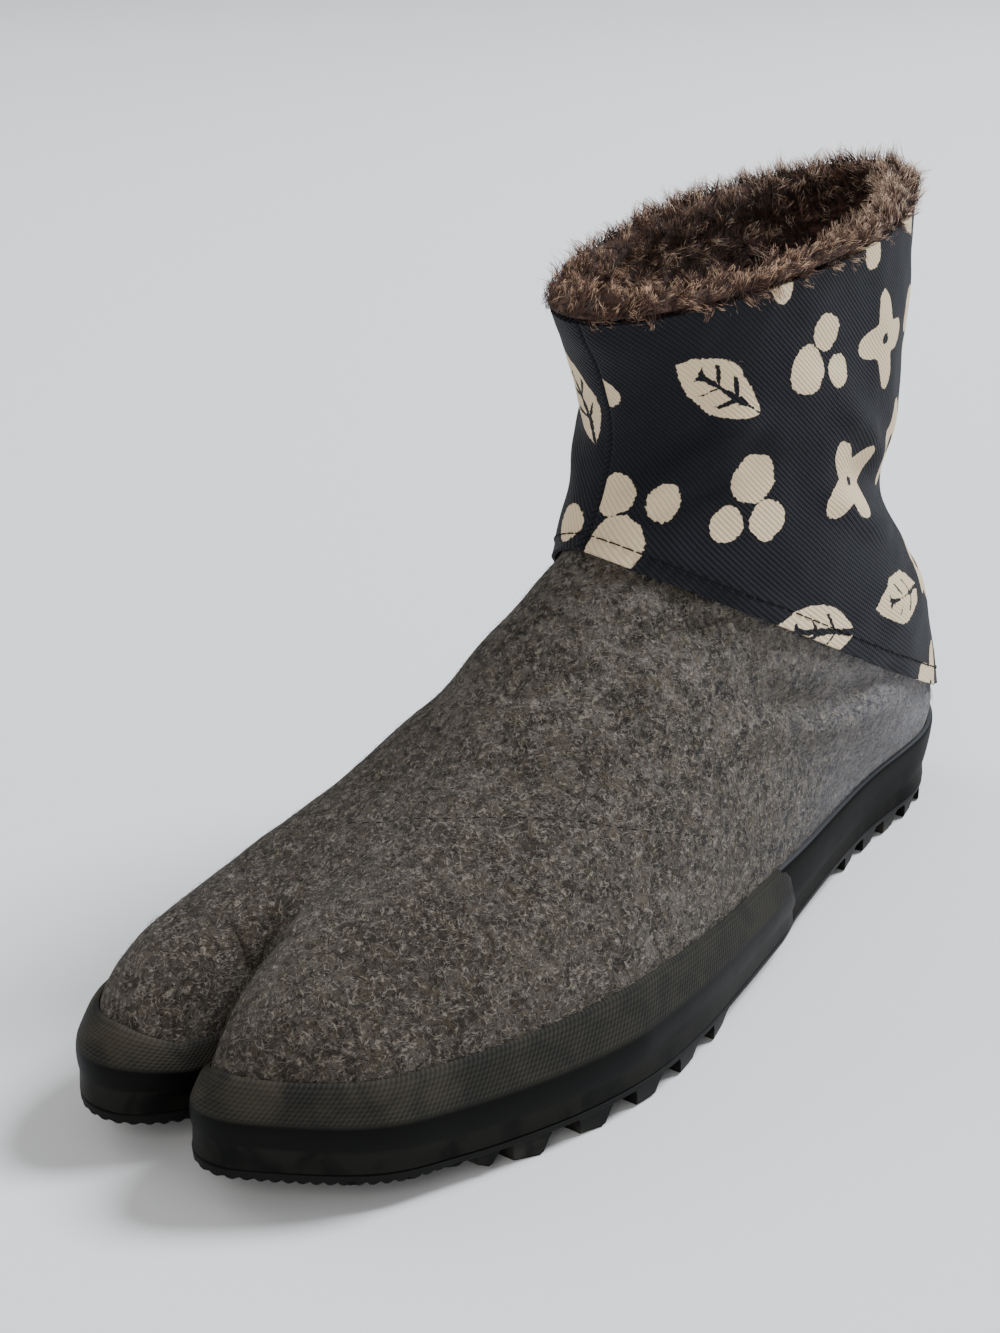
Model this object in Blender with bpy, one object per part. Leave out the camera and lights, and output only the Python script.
"""Jika tabi, the left shoe of a pair: a split-toe work shoe with a felt foot, a canvas shaft,
a boa fleece lining, a cleated rubber sole and two rubber side tapes.

The toes point along -Y, the outer (little toe) side is +X and +Z is up.
The tables are in millimetres about the last's own line, and the finished pieces are moved so
that the origin lies under the middle of the shoe's box, on the floor."""
import math
from collections import namedtuple

import bmesh
import bpy
import numpy as np
from mathutils import Matrix
from mathutils.bvhtree import BVHTree

MM = 0.001
GAP = 0.35
FELT_WALL = 3.0
CANVAS_INSIDE = 0.35
CANVAS_OUTSIDE = 1.7
HEM_OVERLAP = 4.5
HEM_LIFT = 1.1
FUR_PILE = 4.4
LINING_EASE = 1.8
LINING_IN_SHAFT = 0.15
INSOLE_THICKNESS = 2.6
INSOLE_STEP = 14.0

TOE_TIP_Y = -134.0
CLEFT_ROOT_Y = -105.4
CLEFT_END_Y = -94.0
THROAT_Y = -8.5
HEEL_CENTRE_Y = 95.0
HEEL_LENGTH = 34.0
HEEL_POWER = 2.1
HEEL_X = -3.0
THROAT_X = 0.0

# Sections across the vamp: the sole edge on each side, the ridge over each lobe, the cleft's
# centre, how full the crown is, how far the middle dips, and the flank's share of the columns
Vamp = namedtuple(
    "Vamp", "y outer_x big_x outer_ridge big_ridge outer_high big_high centre crown dip flank"
)
VAMP = [
    Vamp(-134, 16.0, -40.0, 3.0, -27.0, 33.0, 32.0, -11.0, 0.60, 0.12, 0.5),
    Vamp(-117, 28.5, -44.0, 5.5, -27.5, 41.0, 39.5, -11.0, 0.60, 0.12, 0.5),
    Vamp(-100, 35.5, -45.5, 6.5, -26.5, 47.0, 44.5, -10.8, 0.60, 0.09, 0.56),
    Vamp(-84, 41.0, -46.0, 6.0, -24.0, 53.0, 49.5, -10.0, 0.60, 0.03, 0.68),
    Vamp(-68, 45.0, -45.0, 3.5, -17.5, 59.5, 56.5, -8.2, 0.58, 0.0, 0.79),
    Vamp(-52, 46.8, -42.8, -1.5, -9.5, 67.0, 66.5, -5.5, 0.54, 0.0, 0.9),
    Vamp(-35, 45.5, -39.5, -2.0, -4.5, 79.0, 79.0, -3.2, 0.48, 0.0, 0.95),
    Vamp(-8.5, 40.6, -33.8, 0.0, 0.0, 102.0, 102.0, 0.0, 0.42, 0.0, 1.0),
]
CLEFT_GAP = 7.0
CLEFT_CROWN = 0.85
CLEFT_FULLNESS = 0.80
CLEFT_BULGE = 2.4
SADDLE_PULL = 0.45
TOE_ROUND = {1: 26.0, -1: 22.0}
PLAN_POWER = 2.2
TOP_POWER = 2.8
CLEFT_POWER = 2.2
FULLNESS = 0.60
LEAN = 0.04
ANKLE_PULL = 0.42
ANKLE_LEAN = 0.025
ANKLE_BLEND = math.radians(70)

# Sole edge from the throat to the heel centre
Waist = namedtuple("Waist", "y outer_x big_x")
WAIST = [
    Waist(-8.5, 40.6, -33.8),
    Waist(0, 38.8, -32.8),
    Waist(25, 33.5, -30.2),
    Waist(50, 27.8, -29.6),
    Waist(75, 23.2, -30.0),
    Waist(95, 21.5, -30.6),
]

# Heights along the sole: where the upper stands, the foot of the plate
Sole = namedtuple("Sole", "y feather plate")
SOLE = [
    Sole(-134, 14.4, 8.4),
    Sole(-117, 11.8, 6.3),
    Sole(-100, 10.1, 5.0),
    Sole(-84, 9.4, 4.5),
    Sole(-40, 9.2, 4.5),
    Sole(20, 9.2, 4.5),
    Sole(80, 9.2, 4.5),
    Sole(110, 9.5, 4.6),
    Sole(130, 10.0, 5.0),
]

# Loops up the shaft: front and back points, half width, sideways shift and lift at the sides
Loop = namedtuple("Loop", "front_y front_z back_y back_z half_width shift lift")
SHAFT = [
    Loop(-8.5, 102.0, 131.0, 32.0, 33.0, 4.5, -4.5),
    Loop(-2.0, 112.0, 122.5, 58.0, 30.8, 3.5, -3.0),
    Loop(0.5, 121.0, 100.5, 87.0, 27.0, 2.5, 0.0),
    Loop(-0.5, 129.0, 106.0, 106.0, 27.0, 2.0, 0.0),
    Loop(-4.5, 139.0, 111.5, 132.0, 27.0, 1.5, 0.0),
    Loop(-12.0, 151.0, 116.5, 163.0, 26.0, 1.0, 0.0),
]
FRONT_POWER = 0.94
BACK_POWER = 1.2
SHAFT_LEVELS = [0.6, 1.3, 2.0, 2.8, 3.9]

# Height of the side tape above the feather edge
Tape = namedtuple("Tape", "y height")
TAPE = [
    Tape(-134, 13.0),
    Tape(-100, 15.5),
    Tape(-60, 17.5),
    Tape(0, 14.5),
    Tape(40, 13.0),
    Tape(80, 15.0),
    Tape(115, 16.0),
]
TAPE_THICKNESS = 2.4
TAPE_GAP = 0.6
TAPE_IN_CLEFT = 0.78
TAPE_DIP = 0.72
TAPE_THINS_OVER = 10.0
TAPE_JOINT_Y = {1: 20.0, -1: 12.0}
TAPE_REACH = 14.0
TAPE_JOINT_FROM_X = 20.0
# Section of the tape: share of its height over the feather edge, share of its thickness
TapeLevel = namedtuple("TapeLevel", "share thickness")
TAPE_SECTION = [
    TapeLevel(0.04, 1.08),
    TapeLevel(0.45, 1.08),
    TapeLevel(0.78, 1.0),
    TapeLevel(1.0, 0.7),
]
FLANGE_OUT = 3.0
FLANGE_THICKNESS = 1.7
FLANGE_DRAFT = 0.2

# Tread: rows of cleats under the forefoot and under the heel
Cleats = namedtuple("Cleats", "first_y rows")
CLEATS = [Cleats(-126.4, 9), Cleats(62.0, 5)]
CLEAT_PITCH = 13.2
CLEAT_LENGTH = 7.8
CLEAT_TAPER = 0.9
CLEAT_BAND = [0.0, 0.27, 0.40, 0.67, 0.80, 1.0]
CLEAT_CELLS = (0, 2)
TOE_LINES = [0.0, 0.8, 3.0]
HEEL_LINES = [0.0, 0.6, 2.2]
WAIST_LINES = 4
TOE_SPRING = 5.2
TOE_SPRING_Y = -90.0
HEEL_SPRING = 0.9
HEEL_SPRING_Y = 116.0
TOE_SPRING_POWER = 1.7
HEEL_SPRING_POWER = 2.0

COLUMNS = 10
TOE_ROWS = 9
CLEFT_ROWS = 4
INSTEP_ROWS = 8
ANKLE_ROWS = 18
SIDES = (1, -1)
ROOT_ROW = TOE_ROWS
MERGE_ROW = TOE_ROWS + CLEFT_ROWS
THROAT_ROW = MERGE_ROW + INSTEP_ROWS
LAST_ROW = THROAT_ROW + ANKLE_ROWS
CLEFT_ROW_POWER = 1.3
RELAX_ROWS = 5
RELAX_ROUNDS = 6
RELAX_PULL = 0.5
RELAX_SEAM_PULL = 0.2
SMALL_TURN = 1e-3


def read_table(rows, at):
    """Smooth values of every column of a table at a place along its first column."""
    table = np.asarray(rows, float)
    places = table[:, 0]
    values = table[:, 1:]
    slopes = np.gradient(values, places, axis=0)
    at = min(max(at, places[0]), places[-1])
    i = int(np.clip(np.searchsorted(places, at) - 1, 0, len(places) - 2))
    span = places[i + 1] - places[i]
    s = (at - places[i]) / span
    start = (2 * s**3 - 3 * s**2 + 1) * values[i] + (s**3 - 2 * s**2 + s) * span * slopes[i]
    end = (3 * s**2 - 2 * s**3) * values[i + 1] + (s**3 - s**2) * span * slopes[i + 1]
    return start + end


def feather(y):
    return read_table(SOLE, y)[0]


def plate_foot(y):
    return read_table(SOLE, y)[1]


def tread(y):
    """Height of the cleats' ends: flat under the ball and heel, lifted at the toe."""
    toe = max(0.0, (TOE_SPRING_Y - y) / (TOE_SPRING_Y - TOE_TIP_Y))
    heel = max(0.0, (y - HEEL_SPRING_Y) / (HEEL_CENTRE_Y + HEEL_LENGTH - HEEL_SPRING_Y))
    return TOE_SPRING * toe**TOE_SPRING_POWER + HEEL_SPRING * heel**HEEL_SPRING_POWER


def round_end(y, side, power):
    """Share of the full width or height left at y, one behind the toe's round end."""
    u = min(max((TOE_TIP_Y + TOE_ROUND[side] - y) / TOE_ROUND[side], 0.0), 1.0)
    return max(1.0 - u**power, 0.0) ** (1.0 / power)


def bezier(p0, p1, p2, p3, count=40):
    s = np.linspace(0.0, 1.0, count)[:, None]
    points = [np.asarray(p, float) for p in (p0, p1, p2, p3)]
    weights = [(1 - s) ** 3, 3 * (1 - s) ** 2 * s, 3 * (1 - s) * s**2, s**3]
    return sum(w * p for w, p in zip(weights, points))


def even_steps(path, count):
    """The same path, as count + 1 points at equal distances along it."""
    steps = np.linalg.norm(np.diff(path, axis=0), axis=1)
    along = np.concatenate([[0.0], np.cumsum(steps)])
    places = np.linspace(0.0, along[-1], count + 1)
    return np.stack([np.interp(places, along, path[:, k]) for k in range(3)], axis=1)


def ease(share):
    """A share from zero to one, with a soft start and a soft end."""
    share = min(max(share, 0.0), 1.0)
    return share * share * (3.0 - 2.0 * share)


def shared_steps(first, second, share, count):
    """Two paths joined end to end, as count + 1 points with a share of them on the first."""
    parts = []
    for path in (first, second):
        steps = np.linalg.norm(np.diff(path, axis=0), axis=1)
        parts.append(np.cumsum(steps) / max(steps.sum(), 1e-9))
    along = np.concatenate([[0.0], share * parts[0], share + (1.0 - share) * parts[1]])
    path = np.vstack([first, second[1:]])
    places = np.linspace(0.0, 1.0, count + 1)
    return np.stack([np.interp(places, along, path[:, k]) for k in range(3)], axis=1)


def closed(y):
    """How far the cleft has closed at y: zero up to its root, one behind it."""
    return min(max((y - CLEFT_ROOT_Y) / (CLEFT_END_Y - CLEFT_ROOT_Y), 0.0), 1.0)


def vamp_limits(y, side):
    """Inner x, outer x, ridge x and height of one lobe, before its round end."""
    row = Vamp(y, *read_table(VAMP, y))
    outer = row.outer_x if side > 0 else row.big_x
    ridge = row.outer_ridge if side > 0 else row.big_ridge
    high = row.outer_high if side > 0 else row.big_high
    inner = row.centre + side * CLEFT_GAP / 2 * (1.0 - ease(closed(y)))
    return inner, outer, ridge, high, row.crown


def lobe_width(y, side):
    """Inner x and outer x of one lobe at the sole edge, with its round end."""
    inner, outer = vamp_limits(y, side)[:2]
    tip_inner, tip_outer = vamp_limits(TOE_TIP_Y, side)[:2]
    middle = 0.5 * (tip_inner + tip_outer)
    share = round_end(y, side, PLAN_POWER)
    if share >= 1.0:
        return inner, outer
    return middle + (inner - middle) * share, middle + (outer - middle) * share


def vamp_section(y, side, count):
    """One half section of the foot, from the sole edge over the ridge to the cleft."""
    inner, outer, ridge, high, crown = vamp_limits(y, side)
    share = round_end(y, side, PLAN_POWER)
    if share < 1.0:
        tip_inner, tip_outer = vamp_limits(TOE_TIP_Y, side)[:2]
        middle = 0.5 * (tip_inner + tip_outer)
        ridge = middle + (ridge - middle) * share
        inner, outer = lobe_width(y, side)
    foot = feather(y)
    high = foot + (high - foot) * round_end(y, side, TOP_POWER)
    lean = LEAN * (outer - ridge)
    flank = bezier(
        (outer, y, foot),
        (outer + lean, y, foot + (high - foot) * FULLNESS),
        (ridge + (outer - ridge) * crown, y, high),
        (ridge, y, high),
    )
    row = Vamp(y, *read_table(VAMP, y))
    middle_high = 0.5 * (row.outer_high + row.big_high)
    saddle = foot + (middle_high - foot) * (1.0 - max(row.dip, 0.0))
    risen = (1.0 - (1.0 - closed(y)) ** CLEFT_POWER) ** (1.0 / CLEFT_POWER)
    valley = foot + (saddle - foot) * risen
    level = ease(closed(y))
    square = (1.0 - level) * ease((y - TOE_TIP_Y) / (CLEFT_ROOT_Y - TOE_TIP_Y))
    inner_crown = crown + square * (CLEFT_CROWN - crown)
    fullness = FULLNESS + square * (CLEFT_FULLNESS - FULLNESS)
    steep = (1.0 - level) * fullness * (high - valley)
    bulge = side * CLEFT_BULGE * square
    wall = bezier(
        (ridge, y, high),
        (ridge + (inner - ridge) * inner_crown, y, high),
        (inner + level * (ridge - inner) * SADDLE_PULL - bulge, y, valley + steep),
        (inner, y, valley),
    )
    return shared_steps(flank, wall, min(row.flank, 1.0), count)


def shaft_point(t, phi):
    """Point on the shaft: t counts the loops from the seam up, phi is 0 in front and pi behind."""
    rows = [(i,) + tuple(row) for i, row in enumerate(SHAFT)]
    row = Loop(*read_table(rows, t))
    back = (1.0 - math.cos(phi)) / 2.0
    side = math.sin(phi)
    power = FRONT_POWER * (1.0 - back) + BACK_POWER * back
    x = THROAT_X + (HEEL_X - THROAT_X) * back + row.shift * side**2
    x += row.half_width * math.copysign(abs(side) ** power, side)
    y = row.front_y + (row.back_y - row.front_y) * back
    z = row.front_z + (row.back_z - row.front_z) * back + row.lift * side**2
    return np.array([x, y, z])


def waist_edge(y, side):
    """Sole edge x behind the throat, with the round heel."""
    row = Waist(y, *read_table(WAIST, min(y, HEEL_CENTRE_Y)))
    edge = row.outer_x if side > 0 else row.big_x
    if y <= HEEL_CENTRE_Y:
        return edge
    u = min((y - HEEL_CENTRE_Y) / HEEL_LENGTH, 1.0)
    return HEEL_X + (edge - HEEL_X) * (1.0 - u**HEEL_POWER) ** (1.0 / HEEL_POWER)


def ankle_edge(seam, side):
    """The sole edge point under a point of the seam, fanned out round the heel."""
    if seam[1] <= HEEL_CENTRE_Y:
        return np.array([waist_edge(seam[1], side), seam[1], feather(seam[1])])
    half = abs(waist_edge(HEEL_CENTRE_Y, side) - HEEL_X)
    turn = math.atan2(seam[1] - HEEL_CENTRE_Y, abs(seam[0] - HEEL_X))
    across = (abs(math.cos(turn)) / half) ** HEEL_POWER
    along = (abs(math.sin(turn)) / HEEL_LENGTH) ** HEEL_POWER
    radius = (across + along) ** (-1.0 / HEEL_POWER)
    x = HEEL_X + side * radius * math.cos(turn)
    y = HEEL_CENTRE_Y + radius * math.sin(turn)
    return np.array([x, y, feather(y)])


def ankle_section(phi, side, count):
    """One line of the ankle, from the sole edge up to the seam with the canvas."""
    seam = shaft_point(0.0, phi)
    edge = ankle_edge(seam, side)
    along = shaft_point(0.0, phi + SMALL_TURN) - shaft_point(0.0, phi - SMALL_TURN)
    rise = shaft_point(0.05, phi) - seam
    plane = np.array([0.0, 1.0, 0.0])
    out = np.array([float(side), 0.0, 0.0])
    if seam[1] > HEEL_CENTRE_Y:
        out = np.array([seam[0] - HEEL_X, seam[1] - HEEL_CENTRE_Y, 0.0])
        out /= np.linalg.norm(out)
        plane = np.array([-out[1], out[0], 0.0])
    end = along * (rise @ plane) - rise * (along @ plane)
    if np.linalg.norm(end) < 1e-9:
        end = rise.copy()
    end /= np.linalg.norm(end)
    end *= math.copysign(1.0, end[2])
    length = np.linalg.norm(seam - edge)
    rise_height = seam[2] - edge[2]
    across = math.hypot(seam[0] - edge[0], seam[1] - edge[1])
    turned = ease(abs(phi) / ANKLE_BLEND)
    foot_pull = (1.0 - turned) * FULLNESS * rise_height + turned * ANKLE_PULL * length
    seam_pull = (1.0 - turned) * VAMP[-1].crown * across + turned * ANKLE_PULL * length
    lean = (1.0 - turned) * LEAN * across + turned * ANKLE_LEAN * length
    start = np.array([0.0, 0.0, foot_pull]) + out * lean
    path = bezier(edge, edge + start, seam - end * seam_pull, seam)
    return even_steps(path, count)


def row_places():
    """Places of the foot's sections along Y, close together at the toe."""
    turn = np.linspace(0.0, math.pi / 2, TOE_ROWS + 1)
    toe = TOE_TIP_Y + (CLEFT_ROOT_Y - TOE_TIP_Y) * (1.0 - np.cos(turn))
    shares = np.linspace(0.0, 1.0, CLEFT_ROWS + 1) ** CLEFT_ROW_POWER
    cleft = CLEFT_ROOT_Y + (CLEFT_END_Y - CLEFT_ROOT_Y) * shares
    instep = np.linspace(CLEFT_END_Y, THROAT_Y, INSTEP_ROWS + 1)
    return list(toe[:-1]) + [CLEFT_ROOT_Y] + list(cleft[1:]) + list(instep[1:])


def foot_rows(side):
    """Every section of one half of the foot, from the toe to the back of the heel.
    The rows round the throat are eased into each other."""
    rows = [vamp_section(y, side, COLUMNS) for y in row_places()]
    for phi in np.linspace(0.0, math.pi, ANKLE_ROWS + 1)[1:]:
        rows.append(ankle_section(side * phi, side, COLUMNS))
    rows = np.array(rows)
    first, last = THROAT_ROW - RELAX_ROWS, THROAT_ROW + RELAX_ROWS
    for _ in range(RELAX_ROUNDS):
        pull = (rows[first - 1 : last - 1] + rows[first + 1 : last + 1]) / 2 - rows[first:last]
        rows[first:last, 1:-2] += RELAX_PULL * pull[:, 1:-2]
        rows[first:last, -2] += RELAX_SEAM_PULL * pull[:, -2]
    return rows


class Skin:
    """Points and faces of an open surface, with points at one place kept once."""

    def __init__(self):
        self.points = []
        self.faces = []
        self.known = {}

    def point(self, place):
        key = tuple(np.round(place, 3))
        if key not in self.known:
            self.known[key] = len(self.points)
            self.points.append(np.asarray(place, float))
        return self.known[key]

    def face(self, corners):
        kept = [c for i, c in enumerate(corners) if c != corners[i - 1]]
        if len(set(kept)) >= 3:
            self.faces.append(kept)

    def quad(self, *places):
        self.face([self.point(p) for p in places])

    def normals(self):
        """Outward direction at each point, from the faces round it."""
        total = np.zeros((len(self.points), 3))
        points = np.array(self.points)
        for face in self.faces:
            corner = points[face]
            if len(face) == 4:
                area = np.cross(corner[2] - corner[0], corner[3] - corner[1])
            else:
                area = np.cross(corner[1] - corner[0], corner[2] - corner[0])
            total[face] += area
        length = np.linalg.norm(total, axis=1)
        return total / np.maximum(length, 1e-12)[:, None]

    def border(self):
        """Edges that only one face uses, in that face's direction."""
        seen = {}
        for face in self.faces:
            for i, b in enumerate(face):
                seen[(face[i - 1], b)] = True
        return [edge for edge in seen if (edge[1], edge[0]) not in seen]


def foot_skin(outer, big):
    """The outside of the felt, as one open surface with its cleft."""
    skin = Skin()
    for i in range(LAST_ROW):
        for j in range(COLUMNS):
            skin.quad(outer[i, j], outer[i + 1, j], outer[i + 1, j + 1], outer[i, j + 1])
            skin.quad(big[i, j], big[i, j + 1], big[i + 1, j + 1], big[i + 1, j])
    for i in range(ROOT_ROW, MERGE_ROW):
        skin.quad(outer[i, -1], outer[i + 1, -1], big[i + 1, -1], big[i, -1])
    return skin


def shell(outside, inside, faces, border):
    """Points and faces of the closed wall between two copies of one surface."""
    count = len(outside)
    points = [*outside, *inside]
    walls = [list(face) for face in faces]
    walls += [[c + count for c in reversed(face)] for face in faces]
    walls += [[b, a, a + count, b + count] for a, b in border]
    return points, walls


def make_object(name, points, faces, colour, roughness, move_low=None):
    """A named object with its own material, its normals pointing out of the closed body."""
    mesh = bpy.data.meshes.new(name)
    form = bmesh.new()
    verts = [form.verts.new([float(c) * MM for c in p]) for p in points]
    for face in faces:
        form.faces.new([verts[c] for c in face])
    loose = [v for v in form.verts if not v.link_faces]
    bmesh.ops.delete(form, geom=loose, context="VERTS")
    if move_low:
        move_low(form)
    bmesh.ops.recalc_face_normals(form, faces=form.faces)
    form.to_mesh(mesh)
    form.free()
    mesh.shade_smooth()
    mesh.set_sharp_from_angle(angle=math.radians(40))
    part = bpy.data.objects.new(name, mesh)
    bpy.context.scene.collection.objects.link(part)
    finish = bpy.data.materials.new(name)
    finish.use_nodes = True
    shader = finish.node_tree.nodes["Principled BSDF"]
    shader.inputs["Base Color"].default_value = (*colour, 1.0)
    shader.inputs["Roughness"].default_value = roughness
    shader.inputs["Metallic"].default_value = 0.0
    mesh.materials.append(finish)
    return part


def make_felt(skin):
    """The foot of the shoe: one hollow felt wall, open at the ankle and underneath."""
    outside = np.array(skin.points)
    inward = skin.normals() * FELT_WALL
    for edge in skin.border():
        for c in edge:
            if outside[c][2] < feather(outside[c][1]) + 0.01:
                flat = np.array([inward[c][0], inward[c][1], 0.0])
                inward[c] = flat * FELT_WALL / np.linalg.norm(flat)
    points, faces = shell(outside, outside - inward, skin.faces, skin.border())
    return make_object("upper_felt", points, faces, (0.105, 0.095, 0.088), 0.95)


def nearest(felt, place):
    spot, normal, _, _ = felt.find_nearest(place)
    return np.array(spot), np.array(normal)


def shaft_grid(levels, around):
    phis = [2 * math.pi * k / around for k in range(around)]
    return [[shaft_point(t, phi) for phi in phis] for t in levels]


def hem_line(felt, around, overlap):
    """A line of the canvas hem on the felt, some way below the seam."""
    line = []
    for k in range(around):
        phi = 2 * math.pi * k / around
        seam = shaft_point(0.0, phi)
        along = shaft_point(0.0, phi + SMALL_TURN) - shaft_point(0.0, phi - SMALL_TURN)
        rise = shaft_point(0.1, phi) - seam
        down = along * (rise @ along) / (along @ along) - rise
        spot, normal = nearest(felt, seam + down * overlap / np.linalg.norm(down))
        line.append(spot + normal * HEM_LIFT)
    return line


def make_shaft(felt):
    """The canvas tube, from its hem over the felt up to the collar."""
    around = 2 * ANKLE_ROWS
    top = len(SHAFT) - 1
    grid = [hem_line(felt, around, HEM_OVERLAP), hem_line(felt, around, HEM_OVERLAP / 2)]
    grid += shaft_grid([0] + SHAFT_LEVELS + [top], around)
    skin = Skin()
    for low, high in zip(grid, grid[1:]):
        for k in range(around):
            n = (k + 1) % around
            skin.quad(low[k], low[n], high[n], high[k])
    outward = skin.normals()
    spots = np.array(skin.points)
    points, faces = shell(
        spots + outward * CANVAS_OUTSIDE,
        spots + outward * CANVAS_INSIDE,
        skin.faces,
        skin.border(),
    )
    return make_object("shaft_canvas", points, faces, (0.012, 0.013, 0.017), 0.8)


# The fleece rim: distance out from the canvas line, height over the collar, how far locks stand out
Rim = namedtuple("Rim", "out up lock")
RIM = [
    Rim(-0.2, 0.9, 0.0),
    Rim(1.4, 2.2, 1.2),
    Rim(1.6, 4.6, -1.7),
    Rim(-0.6, 7.0, 2.0),
    Rim(-4.2, 6.2, -1.9),
    Rim(-6.0, 2.2, 1.4),
    Rim(-5.4, -1.5, 0.0),
]
RIM_CORE = Rim(-2.0, 2.0, 0.0)
LOCK_BACK = -0.35
LOCK_SIZE = 0.75
LOCK_SWAY = 0.35
LOCK_SWAY_STEP = 2.3
LINING_COLUMNS = [0, 2, 4, 6, 8, 9, 10]


def lining_skin(foot, outer, big):
    """The surface that the fleece follows: the ankle of the felt, then the shaft."""
    skin = Skin()
    depth = {}
    lift = INSOLE_THICKNESS + 2 * GAP

    def spot(row, column):
        place = row[column].copy()
        place[2] = max(place[2], feather(place[1]) + lift)
        index = skin.point(place)
        depth[index] = FELT_WALL + GAP + LINING_EASE
        return index

    for i in range(THROAT_ROW, LAST_ROW):
        for a, b in zip(LINING_COLUMNS, LINING_COLUMNS[1:]):
            one = [spot(outer[i], a), spot(outer[i + 1], a)]
            skin.face(one + [spot(outer[i + 1], b), spot(outer[i], b)])
            two = [spot(big[i], a), spot(big[i], b)]
            skin.face(two + [spot(big[i + 1], b), spot(big[i + 1], a)])
    around = 2 * ANKLE_ROWS
    grid = shaft_grid([0] + SHAFT_LEVELS, around)
    for low, high in zip(grid, grid[1:]):
        for k in range(around):
            n = (k + 1) % around
            skin.quad(low[k], low[n], high[n], high[k])
    for place in np.concatenate(grid[1:]):
        depth[skin.point(place)] = LINING_IN_SHAFT
    top = [skin.point(p) for p in grid[-1]]
    outward = skin.normals()
    leading = foot.normals()
    for place, index in skin.known.items():
        if place in foot.known:
            outward[index] = leading[foot.known[place]]
    depths = np.array([depth[i] for i in range(len(skin.points))])
    return skin, outward, depths, top


def rim_ring(row, around):
    """One ring of the rim, its points pushed in and out so that locks stand up."""
    top = float(len(SHAFT) - 1)
    ring = []
    for k in range(around):
        phi = 2 * math.pi * k / around
        place = shaft_point(top, phi)
        along = shaft_point(top, phi + SMALL_TURN) - shaft_point(top, phi - SMALL_TURN)
        rise = place - shaft_point(top - 0.1, phi)
        rise /= np.linalg.norm(rise)
        out = np.cross(along, rise)
        out /= np.linalg.norm(out)
        size = LOCK_SIZE + LOCK_SWAY * math.sin(LOCK_SWAY_STEP * k + row.up)
        stand = row.lock * size * (1.0 if k % 2 else LOCK_BACK)
        away = np.array([row.out - RIM_CORE.out, row.up - RIM_CORE.up])
        away /= np.linalg.norm(away)
        place = place + out * (row.out + stand * away[0]) + rise * (row.up + stand * away[1])
        ring.append(place)
    return ring


def make_lining(foot, outer, big):
    """The fleece: a thick tube inside the canvas and the heel, with locks round its rim."""
    skin, outward, depths, top = lining_skin(foot, outer, big)
    spots = np.array(skin.points)
    outside = spots - outward * depths[:, None]
    inside = outside - outward * FUR_PILE
    ends = set(top)
    border = [edge for edge in skin.border() if not (edge[0] in ends and edge[1] in ends)]
    points, faces = shell(outside, inside, skin.faces, border)
    coarse = [list(top), [c + len(outside) for c in top]]
    fine = []
    for row in RIM:
        start = len(points)
        points += rim_ring(row, 2 * len(top))
        fine.append(list(range(start, start + 2 * len(top))))
    for low, high in zip(fine, fine[1:]):
        for k in range(len(low)):
            n = (k + 1) % len(low)
            faces.append([low[k], low[n], high[n], high[k]])
    for few, many, flip in ((coarse[0], fine[0], 1), (coarse[1], fine[-1], -1)):
        for k, c in enumerate(few):
            n = (k + 1) % len(few)
            trio = [many[2 * k], many[2 * k + 1], many[2 * n]]
            for face in ([c, trio[1], trio[0]], [c, few[n], trio[1]], [few[n], trio[2], trio[1]]):
                faces.append(face[::flip])
    return make_object("boa_lining", points, faces, (0.19, 0.115, 0.070), 1.0)


def offset_ring(ring, distance):
    """A closed outline in plan, moved outward by a distance; it runs clockwise from above."""
    count = len(ring)
    moved = []
    for i, place in enumerate(ring):
        before = place[:2] - ring[i - 1][:2]
        after = ring[(i + 1) % count][:2] - place[:2]
        before = np.array([-before[1], before[0]]) / np.linalg.norm(before)
        after = np.array([-after[1], after[0]]) / np.linalg.norm(after)
        reach = distance / max(1.0 + before @ after, 0.75)
        moved.append(place[:2] + (before + after) * reach)
    return moved


class Plan:
    """The sole's outline on chosen lines across it, as one ring with a place for each line end."""

    def __init__(self, lines):
        self.lines = list(lines)
        self.root = self.lines.index(CLEFT_ROOT_Y)
        last = len(self.lines) - 1
        ring = []
        self.place = {}

        def add(side, end, i, x):
            self.place[(side, end, i)] = len(ring)
            ring.append(np.array([x, self.lines[i]]))

        add(1, "out", last, HEEL_X)
        for i in range(last - 1, 0, -1):
            add(1, "out", i, self.edges(i, 1)[1])
        add(1, "out", 0, sum(self.edges(0, 1)) / 2)
        for i in range(1, self.root + 1):
            add(1, "in", i, self.edges(i, 1)[0])
        for i in range(self.root, 0, -1):
            add(-1, "in", i, self.edges(i, -1)[0])
        add(-1, "out", 0, sum(self.edges(0, -1)) / 2)
        for i in range(1, last):
            add(-1, "out", i, self.edges(i, -1)[1])
        self.place[(-1, "out", last)] = self.place[(1, "out", last)]
        for side in SIDES:
            self.place[(side, "in", 0)] = self.place[(side, "out", 0)]
        self.ring = ring

    def edges(self, i, side):
        y = self.lines[i]
        if y < THROAT_Y:
            return lobe_width(y, side)
        return HEEL_X, waist_edge(y, side)


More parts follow.
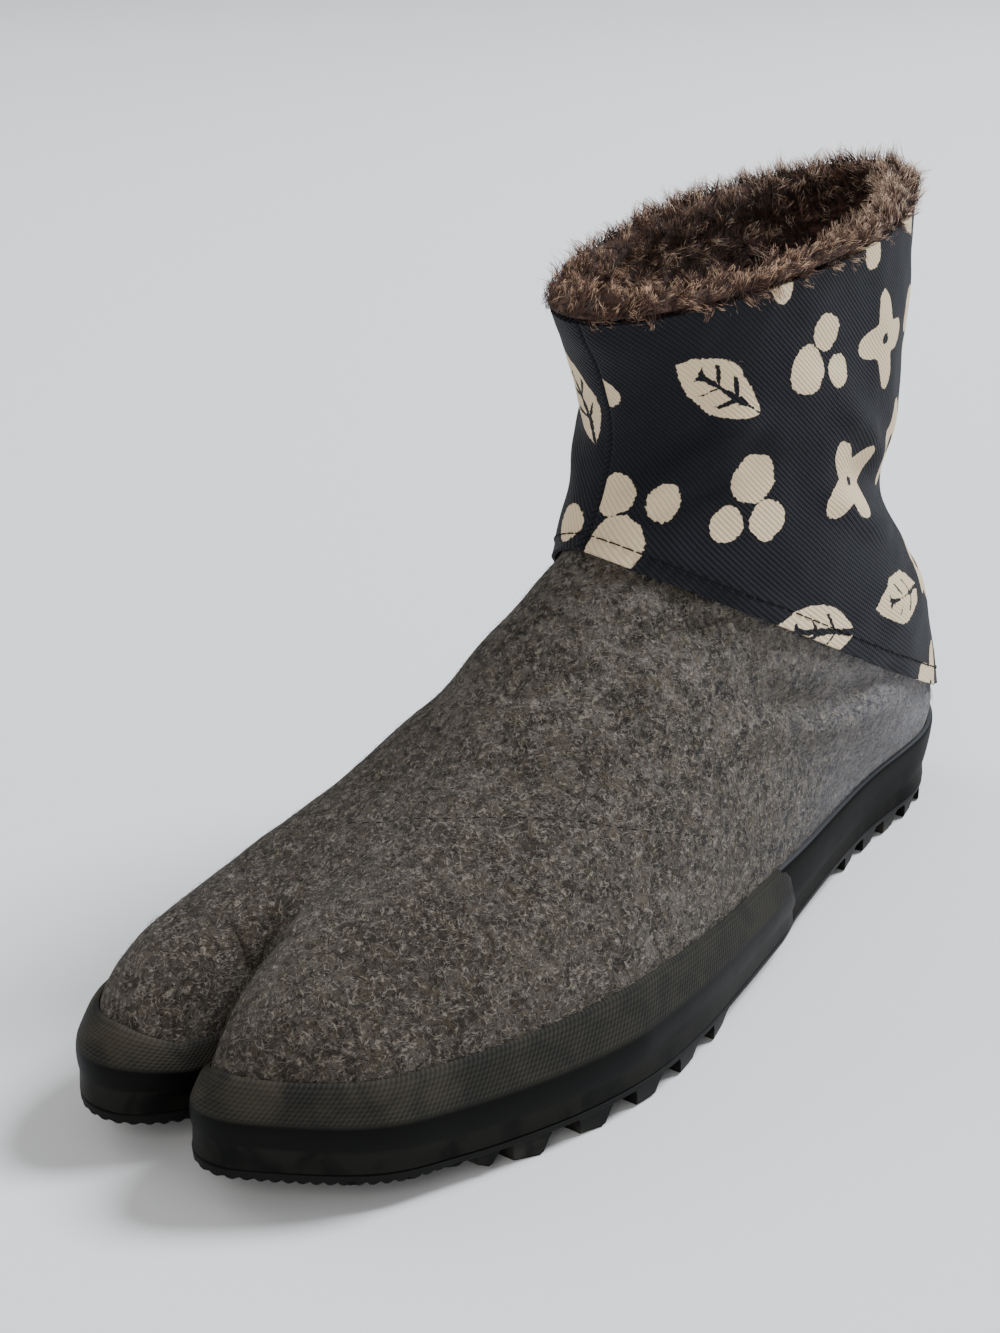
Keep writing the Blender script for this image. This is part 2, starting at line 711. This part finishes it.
def slab(plan, levels, bands):
    """A closed slab over a plan. levels are (offset, height function), from the top down.
    Returns points, faces and the faces of the lowest level by line and cell."""
    points = []
    faces = []
    size = len(plan.ring)
    rings = []
    for offset, height in levels:
        ring = [np.array([p[0], p[1], height(p[1])]) for p in offset_ring(plan.ring, offset)]
        rings.append(list(range(len(points), len(points) + size)))
        points += ring
    for high, low in zip(rings, rings[1:]):
        for k in range(size):
            n = (k + 1) % size
            faces.append([high[k], high[n], low[n], low[k]])
    cells = {}
    last = len(plan.lines) - 1
    for ring, (_, height), lowest in ((rings[0], levels[0], False), (rings[-1], levels[-1], True)):
        start = points[ring[plan.place[(1, "out", plan.root)]]][0]
        width = start - points[ring[plan.place[(-1, "out", plan.root)]]][0]
        inner = {
            side: (start - points[ring[plan.place[(side, "in", plan.root)]]][0]) / width
            for side in SIDES
        }

        def line(i, side):
            out = ring[plan.place[(side, "out", i)]]
            if i in (0, last):
                return [out] * len(bands)
            if i <= plan.root:
                ends = (out, ring[plan.place[(side, "in", i)]])
                stop = points[ends[1]]
            else:
                one = points[ring[plan.place[(1, "out", i)]]]
                two = points[ring[plan.place[(-1, "out", i)]]]
                stop = one + (two - one) * inner[side]
                ends = (out, None)
            made = [out]
            for share in bands[1:]:
                if share == 1.0 and ends[1] is not None:
                    made.append(ends[1])
                    continue
                spot = points[out] + (stop - points[out]) * share
                spot[2] = height(spot[1])
                points.append(spot)
                made.append(len(points) - 1)
            return made

        lines = {(i, side): line(i, side) for i in range(last + 1) for side in SIDES}
        for i in range(last):
            for side in SIDES:
                a, b = lines[(i, side)], lines[(i + 1, side)]
                for j in range(len(bands) - 1):
                    kept = Skin()
                    kept.face([a[j], a[j + 1], b[j + 1], b[j]])
                    faces += kept.faces
                    if lowest and kept.faces:
                        cells[(i, side, j)] = len(faces) - 1
            if i >= plan.root:
                strip = [lines[(i, 1)][-1], lines[(i, -1)][-1]]
                kept = Skin()
                kept.face(strip + [lines[(i + 1, -1)][-1], lines[(i + 1, 1)][-1]])
                faces += kept.faces
    return points, faces, cells


def cleat_rows():
    rows = []
    for block in CLEATS:
        for k in range(block.rows):
            start = block.first_y + k * CLEAT_PITCH
            rows.append((start, start + CLEAT_LENGTH))
    return rows


def sole_lines():
    """Lines across the sole: both ends of each cleat row, the cleft root, and the round ends."""
    heel_end = HEEL_CENTRE_Y + HEEL_LENGTH
    lines = [TOE_TIP_Y + step for step in TOE_LINES] + [CLEFT_ROOT_Y]
    lines += [heel_end - step for step in HEEL_LINES]
    for start, end in cleat_rows():
        lines += [start, end]
    front_end = max(end for start, end in cleat_rows() if end < 0)
    back_start = min(start for start, end in cleat_rows() if start > 0)
    lines += list(np.linspace(front_end, back_start, WAIST_LINES + 2)[1:-1])
    return sorted({round(float(y), 3) for y in lines})


def make_outsole():
    """The rubber plate, with a flange that the side tapes stand on, and its cleats."""
    plan = Plan(sole_lines())
    levels = [
        (0.0, lambda y: feather(y) - GAP),
        (0.0, lambda y: plate_foot(y) + FLANGE_THICKNESS),
        (FLANGE_OUT, lambda y: plate_foot(y) + FLANGE_THICKNESS),
        (FLANGE_OUT - FLANGE_DRAFT, plate_foot),
    ]
    points, faces, cells = slab(plan, levels, CLEAT_BAND)
    starts = [round(start, 3) for start, _ in cleat_rows()]
    rows = {i for i, y in enumerate(plan.lines) if y in starts}
    chosen = [f for (i, side, j), f in cells.items() if i in rows and j in CLEAT_CELLS]

    def pull_cleats(form):
        form.faces.ensure_lookup_table()
        picked = [form.faces[f] for f in chosen]
        made = bmesh.ops.extrude_discrete_faces(form, faces=picked)
        for face in made["faces"]:
            middle = face.calc_center_median()
            for vert in face.verts:
                vert.co.x = middle.x + (vert.co.x - middle.x) * CLEAT_TAPER
                vert.co.y = middle.y + (vert.co.y - middle.y) * CLEAT_TAPER
                vert.co.z = tread(vert.co.y / MM) * MM

    return make_object("outsole", points, faces, (0.014, 0.014, 0.013), 0.75, pull_cleats)


def make_insole():
    """The insole board, a thin slab inside the felt wall."""
    heel_end = HEEL_CENTRE_Y + HEEL_LENGTH
    lines = [TOE_TIP_Y + step for step in (0.0, 0.8, 3.0, 8.0, 22.0)] + [CLEFT_ROOT_Y]
    lines += list(np.arange(CLEFT_END_Y, HEEL_CENTRE_Y, INSOLE_STEP))
    lines += [HEEL_CENTRE_Y] + [heel_end - step for step in (21.0, 11.0, 4.0, 0.8, 0.0)]
    inset = -(FELT_WALL + 2 * GAP)
    levels = [
        (inset, lambda y: feather(y) + INSOLE_THICKNESS),
        (inset, lambda y: feather(y)),
    ]
    points, faces, _ = slab(Plan(lines), levels, [0.0, 0.5, 1.0])
    return make_object("insole", points, faces, (0.10, 0.065, 0.042), 0.95)


def cast(felt, place, outward, height, reach):
    """Distance from a sole edge point out to the felt's side at a height."""
    start = (place[0] + outward[0] * reach, place[1] + outward[1] * reach, height)
    spot, _, _, travelled = felt.ray_cast(start, (-outward[0], -outward[1], 0.0), 3 * reach)
    return 0.0 if spot is None else reach - travelled


def make_tape(name, felt, ring, from_end, to_end, tips):
    """A rubber tape round part of the sole edge, lying against the felt and on the flange.
    It is thinner between the two toe tips, inside the cleft."""
    count = len(ring)
    stations = []
    k = from_end
    while True:
        stations.append(k % count)
        if k % count == to_end % count:
            break
        k += 1
    moved = offset_ring(ring, 1.0)
    points = []
    for k in stations:
        place = ring[k]
        outward = moved[k] - place[:2]
        stretch = np.linalg.norm(outward)
        outward = outward / stretch
        in_cleft = tips[0] < k < tips[1]
        reach = 0.95 * CLEFT_GAP / 2 if in_cleft else TAPE_REACH
        foot = feather(place[1])
        behind = min((place[1] - TOE_TIP_Y) / TAPE_THINS_OVER, 1.0) * in_cleft
        height = read_table(TAPE, place[1])[0] * (1.0 - (1.0 - TAPE_DIP) * behind)
        base = plate_foot(place[1]) + FLANGE_THICKNESS + GAP
        thick = TAPE_THICKNESS * (1.0 - (1.0 - TAPE_IN_CLEFT) * behind)
        profile = [(base, TAPE_GAP, thick)]
        for level in TAPE_SECTION:
            z = foot + level.share * height
            near = cast(felt, place, outward, z, reach) + TAPE_GAP
            profile.append((z, near, thick * level.thickness))
        inner = [[*(place[:2] + outward * near * stretch), z] for z, near, _ in profile]
        outer = [[*(place[:2] + outward * (near + t) * stretch), z] for z, near, t in profile]
        points.append(inner + outer[::-1])
    faces = []
    flat = [p for station in points for p in station]
    width = len(points[0])
    for s in range(len(points) - 1):
        for j in range(width):
            n = (j + 1) % width
            corner = s * width
            faces.append([corner + j, corner + n, corner + width + n, corner + width + j])
    last = (len(points) - 1) * width
    for j in range(width // 2 - 1):
        k = width - 1 - j
        faces.append([j, j + 1, k - 1, k])
        faces.append([last + k, last + k - 1, last + j + 1, last + j])
    return make_object(name, flat, faces, (0.016, 0.016, 0.015), 0.6)


def sole_edge(outer, big):
    """The felt's foot line as one closed ring, clockwise from above, from the heel's back.
    Returns it with the two joints of the tapes as ring indices."""
    ring = [outer[i, 0] for i in range(LAST_ROW, -1, -1)]
    ring += [outer[i, -1] for i in range(1, ROOT_ROW + 1)]
    ring += [big[i, -1] for i in range(ROOT_ROW, 0, -1)]
    ring += [big[i, 0] for i in range(0, LAST_ROW)]
    joints = {}
    for side in SIDES:
        edge = [
            k
            for k, p in enumerate(ring)
            if (p[0] - HEEL_X) * side > TAPE_JOINT_FROM_X and p[1] > 0.0
        ]
        joints[side] = min(edge, key=lambda k: abs(ring[k][1] - TAPE_JOINT_Y[side]))
    return ring, joints


def split_ring(ring, index, half_gap):
    """The ring with the vertex at index doubled into the two ends of a joint."""
    place = ring[index]
    along = (ring[(index + 1) % len(ring)] - ring[index - 1])[:3]
    along = along / np.linalg.norm(along)
    return ring[:index] + [place - along * half_gap, place + along * half_gap] + ring[index + 1 :]


def make_tapes(felt, outer, big):
    ring, joints = sole_edge(outer, big)
    ring = split_ring(ring, joints[-1], GAP / 2)
    ring = split_ring(ring, joints[1], GAP / 2)
    tips = [
        min(range(len(ring)), key=lambda k: np.linalg.norm(ring[k] - half[0, 0]))
        for half in (outer, big)
    ]
    first = joints[1] + 1
    second = joints[-1] + 1
    make_tape("side_tape_front", felt, ring, first, second, tips)
    make_tape("side_tape_rear", felt, ring, second + 1, joints[1], tips)


def stand_on_origin():
    """Move every piece so that the middle of the whole box lies over the origin, on the floor."""
    parts = [o for o in bpy.data.objects if o.type == "MESH"]
    corners = np.array([v.co for o in parts for v in o.data.vertices])
    low = corners.min(axis=0)
    high = corners.max(axis=0)
    shift = (-(low[0] + high[0]) / 2, -(low[1] + high[1]) / 2, -low[2])
    for part in parts:
        part.data.transform(Matrix.Translation(shift))
    print("moved by", [round(float(v) / MM, 3) for v in shift])
    print("size", [round(float(v) / MM, 2) for v in high - low])
    for part in parts:
        part.data.calc_loop_triangles()
        print(part.name, len(part.data.loop_triangles), "triangles")


def main():
    for old in list(bpy.data.objects):
        bpy.data.objects.remove(old)
    outer = foot_rows(1)
    big = foot_rows(-1)
    skin = foot_skin(outer, big)
    felt = BVHTree.FromPolygons([tuple(p) for p in skin.points], skin.faces)
    make_felt(skin)
    make_shaft(felt)
    make_lining(skin, outer, big)
    make_outsole()
    make_insole()
    make_tapes(felt, outer, big)
    stand_on_origin()


main()
